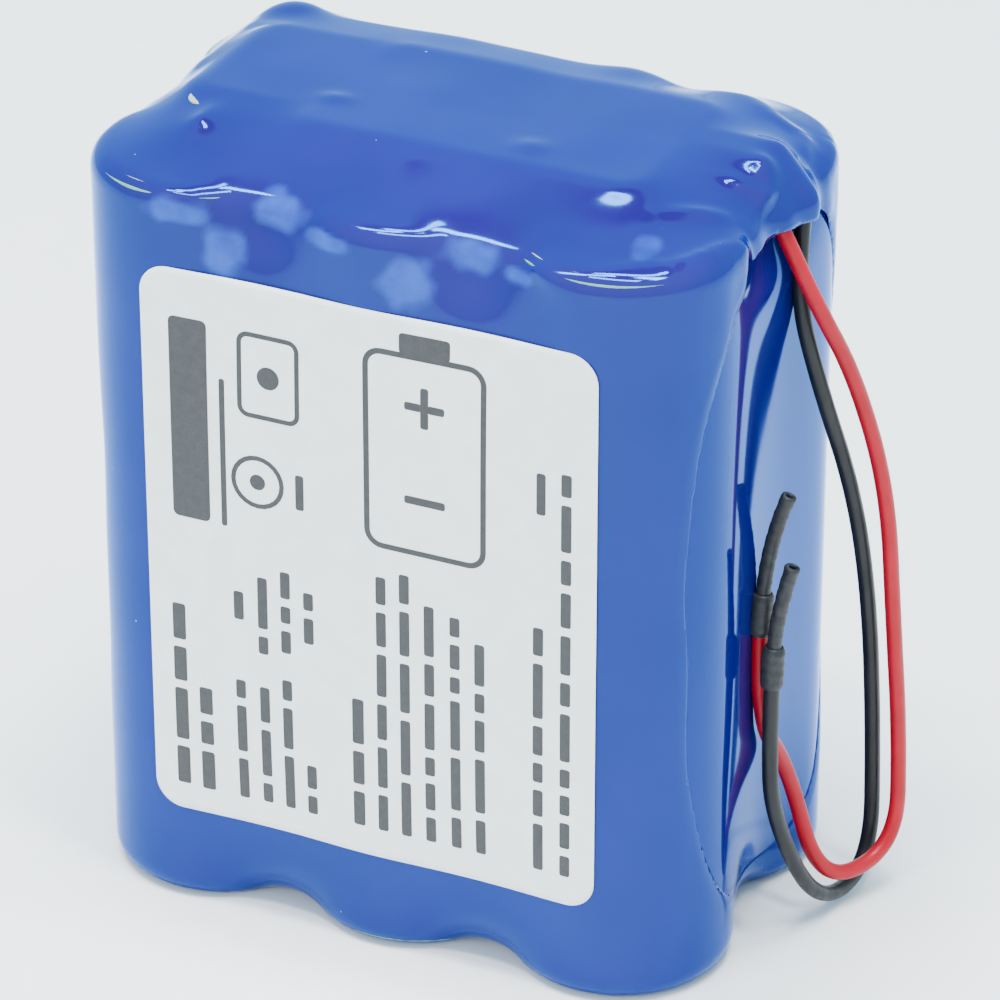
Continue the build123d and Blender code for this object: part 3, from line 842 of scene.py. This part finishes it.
def sleeve_along(name, line, distances, outer_radii, bore, material):
    """Tube with a bore, round a line; the outer radius may change along it."""
    around = 28
    places, directions = at_distances(line, distances)
    side = np.cross(directions[0], (0, 0, 1.0))
    points = []
    for place, direction in zip(places, directions):
        side = side - direction * (side @ direction)
        side /= np.linalg.norm(side)
        other = np.cross(direction, side)
        for radii in (outer_radii, np.full(len(distances), bore)):
            radius = radii[len(points) // (2 * around)]
            for k in range(around):
                angle = 2 * math.pi * k / around
                points.append(place + radius * (math.cos(angle) * side + math.sin(angle) * other))
    faces = []
    for ring in range(len(places) - 1):
        for k in range(around):
            a, b = ring * 2 * around + k, ring * 2 * around + (k + 1) % around
            faces.append((a, b, b + 2 * around, a + 2 * around))
            faces.append((a + around, a + 3 * around, b + 3 * around, b + around))
    last = (len(places) - 1) * 2 * around
    for k in range(around):
        a, b = k, (k + 1) % around
        faces.append((a, a + around, b + around, b))
        faces.append((last + a, last + b, last + b + around, last + a + around))
    return new_object(name, mesh_from(name, np.array(points), faces), material)


def end_tube(name, route, node):
    """Thin shrink tube over the bare end, wrinkled, and open at its slightly flared tip."""
    stations, flare_run, rounded_run = 60, 1.2, 0.12
    line = line_of(route)
    length = runs_of(line).sum()
    distances = np.linspace(0, length, stations)
    wrinkle = 0.018 * np.sin(distances * 5.1) + 0.012 * np.sin(distances * 11.3 + 1)
    flare = 0.05 * np.clip((distances - length + flare_run) / flare_run, 0, 1) ** 2
    rounding = 0.06 * np.clip((distances - length + rounded_run) / rounded_run, 0, 1) ** 2
    radii = TUBE_RADIUS + wrinkle + flare - rounding
    piece = sleeve_along(name, line, distances, radii, TUBE_BORE, shrink_tube("tube"))
    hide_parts(node)
    return piece


def end_collar(name, lead_route, tube_route, node):
    """Shrink collar over the joint of a lead and its end tube, rounded at both ends."""
    stations, share_on_lead, rounded_run, edge_wall = 44, 0.55, 0.55, 0.06
    lead_line, tube_line = line_of(lead_route), line_of(tube_route)
    line = np.vstack([lead_line, tube_line[1:]])
    start = runs_of(lead_line).sum() - COLLAR_LENGTH * share_on_lead
    distances = start + np.linspace(0, COLLAR_LENGTH, stations)
    from_end = np.minimum(distances - distances[0], distances[-1] - distances)
    rounding = 1 - np.sqrt(np.clip(from_end / rounded_run, 0, 1))
    wrinkle = 0.02 * np.sin(distances * 6.3)
    radii = COLLAR_RADIUS - (COLLAR_RADIUS - COLLAR_BORE - edge_wall) * rounding + wrinkle
    piece = sleeve_along(name, line, distances, radii, COLLAR_BORE, shrink_tube("collar"))
    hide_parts(node)
    return piece


def lead(colour, route, tube_route, material):
    """Free lead with its collar and end tube, each attached to the root body."""
    piece = spline_through(f"{colour}_cord", route)
    piece.data.bevel_depth = LEAD_RADIUS * MM
    piece.data.bevel_resolution = 8
    piece.data.use_fill_caps = True
    piece.data.materials.append(material)
    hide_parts(f"{colour}_lead")
    tube = end_tube(f"{colour}_tube", tube_route, f"{colour}_end_tube")
    collar = end_collar(f"{colour}_collar", route, tube_route, f"{colour}_end_collar")
    for part in (piece, tube, collar):
        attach(part, "root")


# ---------------------------------------------------------------- materials
def new_material(name):
    material = bpy.data.materials.new(name)
    material.use_nodes = True
    return material, material.node_tree.nodes, material.node_tree.links


def grain(nodes, links, size_mm, detail=3.0, stretch=(1, 1, 1)):
    """Noise of a given size in the object's own space."""
    place = nodes.new("ShaderNodeTexCoord")
    mapping = nodes.new("ShaderNodeMapping")
    mapping.inputs["Scale"].default_value = stretch
    texture = nodes.new("ShaderNodeTexNoise")
    set_sockets(texture, {"Scale": 1 / (size_mm * MM), "Detail": detail})
    links.new(place.outputs["Object"], mapping.inputs["Vector"])
    links.new(mapping.outputs["Vector"], texture.inputs["Vector"])
    return texture.outputs["Fac"]


def colour_between(nodes, links, factor, dark, light, low=0.35, high=0.65):
    """Colour ramp, by default over the middle of a noise's range."""
    ramp = nodes.new("ShaderNodeValToRGB")
    for stop, place, colour in zip(ramp.color_ramp.elements, (low, high), (dark, light)):
        stop.position = place
        stop.color = (*colour, 1)
    links.new(factor, ramp.inputs["Fac"])
    return ramp.outputs["Color"]


def value_between(nodes, links, factor, low, high):
    """Value over the middle of a noise's range."""
    spread = nodes.new("ShaderNodeMapRange")
    set_sockets(spread, {"From Min": 0.3, "From Max": 0.7, "To Min": low, "To Max": high})
    links.new(factor, spread.inputs["Value"])
    return spread.outputs["Result"]


def bump(nodes, links, factor, height_mm, below=None):
    node = nodes.new("ShaderNodeBump")
    node.inputs["Distance"].default_value = height_mm * MM
    links.new(factor, node.inputs["Height"])
    if below:
        links.new(below, node.inputs["Normal"])
    return node.outputs["Normal"]


def surface(name, dark, light, patch_mm, grain_mm, roughness, height_mm, metallic=0.0, stretch=(1, 1, 1)):
    """Common finish: patches of colour, a grain that changes gloss, and a fine bump."""
    least_gloss, most_gloss = roughness * 1.25, roughness * 0.75
    material, nodes, links = new_material(name)
    shader = nodes["Principled BSDF"]
    patches = grain(nodes, links, patch_mm)
    fine = grain(nodes, links, grain_mm, 4.0, stretch)
    links.new(colour_between(nodes, links, patches, dark, light), shader.inputs["Base Color"])
    links.new(value_between(nodes, links, fine, most_gloss, least_gloss), shader.inputs["Roughness"])
    links.new(bump(nodes, links, fine, height_mm), shader.inputs["Normal"])
    shader.inputs["Metallic"].default_value = metallic
    return material


def mixed(nodes, links, factor, colour, other):
    """Goes from one colour to a plain other one where the factor says so."""
    mix = nodes.new("ShaderNodeMix")
    mix.data_type = "RGBA"
    mix.inputs["B"].default_value = (*other, 1)
    links.new(factor, mix.inputs["Factor"])
    links.new(colour, mix.inputs["A"])
    return mix.outputs["Result"]


def painted_reflection(nodes, links):
    """Mottled share of the places where the film gets its painted reflection."""
    stored = nodes.new("ShaderNodeAttribute")
    stored.attribute_name = "painted_reflection"
    mottle = value_between(nodes, links, grain(nodes, links, 1.7, 3.0), 0.5, 0.85)
    share = nodes.new("ShaderNodeMath")
    share.operation = "MULTIPLY"
    links.new(stored.outputs["Fac"], share.inputs[0])
    links.new(mottle, share.inputs[1])
    return share.outputs["Value"]


def specks(nodes, links, spacing_mm, size):
    """Sparse dots: 1 in a dot, 0 elsewhere."""
    place = nodes.new("ShaderNodeTexCoord")
    cells = nodes.new("ShaderNodeTexVoronoi")
    cells.inputs["Scale"].default_value = 1 / (spacing_mm * MM)
    near = nodes.new("ShaderNodeMath")
    near.operation = "LESS_THAN"
    near.inputs[1].default_value = size
    links.new(place.outputs["Object"], cells.inputs["Vector"])
    links.new(cells.outputs["Distance"], near.inputs[0])
    return near.outputs["Value"]


def film_material(layer="outer"):
    """Glossy blue PVC film, coloured through: the tinted coat deepens what the film mirrors."""
    material, nodes, links = new_material(f"{layer}_pvc_film")
    shader = nodes["Principled BSDF"]
    patches = grain(nodes, links, 14.0)
    colour = colour_between(nodes, links, patches, (0.066, 0.012, 0.104), (0.080, 0.016, 0.124))
    colour = mixed(nodes, links, specks(nodes, links, 4.5, 0.022), colour, (0.60, 0.60, 0.72))
    if layer == "outer":
        # Outer film only: pale patches painted into the colour as a painted reflection of the bright floor.
        colour = mixed(nodes, links, painted_reflection(nodes, links), colour, (0.14, 0.13, 0.36))
    links.new(colour, shader.inputs["Base Color"])
    scuffs = grain(nodes, links, 5.0, 6.0, (1, 1, 0.2))
    links.new(value_between(nodes, links, scuffs, 0.05, 0.13), shader.inputs["Roughness"])
    waves = bump(nodes, links, grain(nodes, links, 3.5, 1.0), 0.005)
    links.new(bump(nodes, links, grain(nodes, links, 0.5, 2.0), 0.0005, waves), shader.inputs["Normal"])
    set_sockets(shader, {"IOR": 1.70, "Specular Tint": (0.25, 0.62, 1.0, 1), "Coat Weight": 1.0,
                         "Coat Roughness": 0.05, "Coat IOR": 1.11, "Coat Tint": (0.25, 0.58, 1.0, 1)})
    return material


def label_paper():
    """Matt paper with a faint fibre grain and mottling."""
    material, nodes, links = new_material("paper_label")
    shader = nodes["Principled BSDF"]
    mottle = grain(nodes, links, 2.2, 6.0)
    links.new(colour_between(nodes, links, mottle, (0.735, 0.75, 0.745), (0.80, 0.81, 0.805)),
              shader.inputs["Base Color"])
    fibre = grain(nodes, links, 0.16, 4.0, (1, 1, 0.45))
    links.new(value_between(nodes, links, fibre, 0.55, 0.7), shader.inputs["Roughness"])
    slow = bump(nodes, links, grain(nodes, links, 5.0, 2.0), 0.02)
    links.new(bump(nodes, links, fibre, 0.008, slow), shader.inputs["Normal"])
    return material


def ink():
    """Thermal print, slightly uneven in its black."""
    return surface("label_ink", (0.018, 0.018, 0.02), (0.024, 0.024, 0.026), 0.9, 0.2, 0.5, 0.002)


def lead_pvc(colour, dark, light):
    """Drawn PVC insulation: faint streaks along it and small scuffs."""
    material = surface(f"{colour}_insulation", dark, light, 3.0, 0.8, 0.4, 0.0001, stretch=(1, 1, 0.3))
    material.node_tree.nodes["Principled BSDF"].inputs["IOR"].default_value = 1.32
    return material


def shrink_tube(part):
    """Matt black polyolefin."""
    material = surface(f"shrink_{part}", (0.010, 0.010, 0.011), (0.022, 0.022, 0.023), 0.8, 0.22, 0.5, 0.02)
    material.node_tree.nodes["Principled BSDF"].inputs["IOR"].default_value = 1.36
    return material


def circuit_board():
    """Green solder mask with copper runs showing under it."""
    material, nodes, links = new_material("solder_mask")
    shader = nodes["Principled BSDF"]
    place = nodes.new("ShaderNodeTexCoord")
    runs = nodes.new("ShaderNodeTexBrick")
    set_sockets(runs, {"Scale": 1 / (1.6 * MM), "Mortar Size": 0.06, "Mortar": (0.05, 0.24, 0.07, 1),
                       "Color1": (0.012, 0.11, 0.035, 1), "Color2": (0.016, 0.14, 0.045, 1)})
    links.new(place.outputs["Object"], runs.inputs["Vector"])
    links.new(runs.outputs["Color"], shader.inputs["Base Color"])
    fine = grain(nodes, links, 0.3)
    links.new(value_between(nodes, links, fine, 0.22, 0.36), shader.inputs["Roughness"])
    links.new(bump(nodes, links, runs.outputs["Fac"], 0.01), shader.inputs["Normal"])
    return material


# Finishes of the kept CAD pieces: end of the node's name, material name, dark and light colour, size of
# the patches and of the grain, roughness, relief, metallic, and stretch of the grain along X, Y and Z.
FINISHES = (
    ("_can", "nickel_plated_can", (0.50, 0.49, 0.46), (0.66, 0.65, 0.62), 4.0, 0.3, 0.28, 0.002, 1.0,
     (1, 1, 0.08)),
    ("_cap", "cap_nickel", (0.52, 0.51, 0.48), (0.70, 0.69, 0.66), 4.0, 0.3, 0.24, 0.002, 1.0),
    ("_strip", "nickel_strip_metal", (0.48, 0.47, 0.43), (0.66, 0.65, 0.60), 4.0, 0.3, 0.3, 0.002, 1.0,
     (0.08, 1, 1)),
    ("_washer", "washer_board", (0.68, 0.68, 0.62), (0.82, 0.82, 0.77), 1.5, 0.12, 0.75, 0.02),
    ("_wrap", "cell_wrap_film", (0.09, 0.26, 0.17), (0.13, 0.33, 0.22), 6.0, 0.5, 0.16, 0.003),
    ("_gaskets", "gasket_nylon", (0.010, 0.010, 0.010), (0.022, 0.022, 0.022), 1.0, 0.2, 0.45, 0.006),
    ("_windings", "winding_stack", (0.022, 0.019, 0.017), (0.06, 0.052, 0.046), 2.0, 0.1, 0.6, 0.03, 0.0,
     (1, 1, 0.05)),
    ("_sheet", "vulcanised_fibre", (0.27, 0.33, 0.25), (0.37, 0.42, 0.34), 1.8, 0.15, 0.7, 0.02),
    ("_tape", "filament_tape", (0.60, 0.58, 0.44), (0.74, 0.72, 0.60), 5.0, 0.25, 0.4, 0.01, 0.0,
     (1, 1, 0.1)),
    ("_pad", "closed_cell_foam", (0.006, 0.006, 0.006), (0.018, 0.018, 0.018), 0.6, 0.25, 0.9, 0.09),
    (("_transistors", "_controller"), "moulded_epoxy", (0.010, 0.010, 0.011), (0.022, 0.022, 0.023), 1.2, 0.1,
     0.5, 0.01),
    ("_components", "chip_ceramic_body", (0.20, 0.14, 0.09), (0.32, 0.24, 0.16), 0.6, 0.1, 0.4, 0.006),
    ("_resistor", "resistor_coat", (0.014, 0.014, 0.016), (0.03, 0.03, 0.034), 0.8, 0.15, 0.35, 0.008),
    ("_joints", "tin_solder", (0.52, 0.52, 0.53), (0.72, 0.72, 0.74), 0.7, 0.2, 0.22, 0.012, 1.0),
    ("_conductors", "copper_wires", (0.50, 0.20, 0.10), (0.72, 0.34, 0.18), 0.5, 0.1, 0.3, 0.03, 1.0,
     (1, 1, 0.1)),
)
WIRES = (
    ("negative_link_wire", "black", (0.010, 0.010, 0.010), (0.024, 0.024, 0.024)),
    ("first_tap_wire", "white", (0.62, 0.62, 0.58), (0.76, 0.76, 0.72)),
    ("second_tap_wire", "yellow", (0.52, 0.33, 0.010), (0.66, 0.45, 0.02)),
    ("positive_riser_wire", "red", (0.36, 0.004, 0.008), (0.48, 0.008, 0.014)),
)


def finish_nodes(ending, material):
    """Gives a material to every CAD piece whose node name ends so."""
    for name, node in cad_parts.items():
        if name.endswith(ending):
            node.data.materials.clear()
            node.data.materials.append(material)


def finish_cad_pieces():
    """Gives every kept CAD piece its finish."""
    for ending, *finish in FINISHES:
        finish_nodes(ending, surface(*finish))
    for wire, colour, dark, light in WIRES:
        finish_nodes(wire, surface(f"silicone_{colour}", dark, light, 2.0, 0.2, 0.42, 0.006))
    finish_nodes("protection_board", circuit_board())
    finish_nodes("red_lead_tail", lead_pvc("red_tail", *RED_TONES))
    finish_nodes("black_lead_tail", lead_pvc("black_tail", *BLACK_TONES))


# ---------------------------------------------------------------- camera and light
def camera():
    """Long lens from the front right and above."""
    azimuth, elevation, distance = math.radians(25.24), math.radians(28.71), 458.43
    back = Vector((math.sin(azimuth) * math.cos(elevation), -math.cos(azimuth) * math.cos(elevation),
                   math.sin(elevation)))
    right = Vector((math.cos(azimuth), math.sin(azimuth), 0))
    up = back.cross(right)
    target = Vector((2.857, 0.529, 33.65))
    data = bpy.data.cameras.new("camera")
    data.lens = 197.93
    data.clip_start = 0.01
    rig = bpy.data.objects.new("camera", data)
    rotation = Matrix((right, up, back)).transposed().to_4x4()
    rig.matrix_world = Matrix.Translation((target + back * distance) * MM) @ rotation
    bpy.context.scene.collection.objects.link(rig)
    bpy.context.scene.camera = rig


def area_light(name, place, size, power, tint=(1, 1, 1), in_gloss=False):
    """Soft light aimed at the pack. Fill lights are kept out of its reflections."""
    data = bpy.data.lights.new(name, "AREA")
    data.shape = "RECTANGLE"
    data.size, data.size_y = size
    data.energy = power
    data.color = tint
    lamp = bpy.data.objects.new(name, data)
    lamp.location = place
    aim = Vector((0, 0, 0.035))
    lamp.rotation_euler = (aim - Vector(place)).to_track_quat("-Z", "Y").to_euler()
    lamp.visible_glossy = in_gloss
    bpy.context.scene.collection.objects.link(lamp)


def floor():
    """Paper floor that runs past the picture on all sides."""
    reach = 3
    mesh = bpy.data.meshes.new("floor")
    corners = [(-reach, -reach, 0), (reach, -reach, 0), (reach, reach, 0), (-reach, reach, 0)]
    mesh.from_pydata(corners, [], [(0, 1, 2, 3)])
    material = surface("floor_paper", (0.86, 0.86, 0.865), (0.88, 0.88, 0.885), 40.0, 2.0, 0.6, 0.01)
    piece = new_object("floor", mesh, material, smooth=False)


def sky():
    """Bright round the horizon and darker overhead, like a tent of paper with an open top."""
    world = bpy.data.worlds.new("studio")
    world.use_nodes = True
    nodes, links = world.node_tree.nodes, world.node_tree.links
    place = nodes.new("ShaderNodeTexCoord")
    parts = nodes.new("ShaderNodeSeparateXYZ")
    paper, opening = (0.66, 1.0, 1.18), (0.05, 0.06, 0.08)
    links.new(place.outputs["Generated"], parts.inputs["Vector"])
    shade = colour_between(nodes, links, parts.outputs["Z"], paper, opening, 0.89, 0.93)
    links.new(shade, nodes["Background"].inputs["Color"])
    nodes["Background"].inputs["Strength"].default_value = 1.7
    bpy.context.scene.world = world


def strip_lights():
    """Frame of thin lamps overhead; it draws the bright outlines on the film."""
    height, width, depth, thin, power = 0.9, 0.46, 0.34, 0.09, 6.5
    middle_y = -0.1
    for name, x, y, size in (("left", -width / 2, middle_y, (thin, depth)),
                             ("right", width / 2, middle_y, (thin, depth)),
                             ("front", 0, middle_y - depth / 2, (width, thin)),
                             ("rear", 0, middle_y + depth / 2, (width, thin))):
        area_light(f"strip_{name}", (x, y, height), size, power, in_gloss=True)


def studio():
    warm = (1.0, 0.93, 0.86)
    floor()
    sky()
    strip_lights()
    area_light("front_fill", (-0.2, -0.9, 0.5), (0.6, 0.5), 6.0, warm)


# ---------------------------------------------------------------- build
camera()
lead("red", RED_ROUTE, RED_TUBE_ROUTE, lead_pvc("red", *RED_TONES))
lead("black", BLACK_ROUTE, BLACK_TUBE_ROUTE, lead_pvc("black", *BLACK_TONES))

lying_rods = link_wire_rods() + tail_rods("board")
wrapped, film_faces, film_neighbours = shrunk_film(lying_rods + tail_rods("hood"))
outer_piece, outer_tree = outer_film(wrapped, film_faces)
rounds_without_hood = 90
tight = relax(wrapped.copy(), film_neighbours, rounds_without_hood, lying_rods)
inner_piece = inner_film(tight, film_faces)
label_piece, label_tree = label(outer_tree)
print_piece = label_print(label_tree)
for piece in (outer_piece, inner_piece, label_piece, print_piece):
    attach(piece, "root")
finish_cad_pieces()
studio()
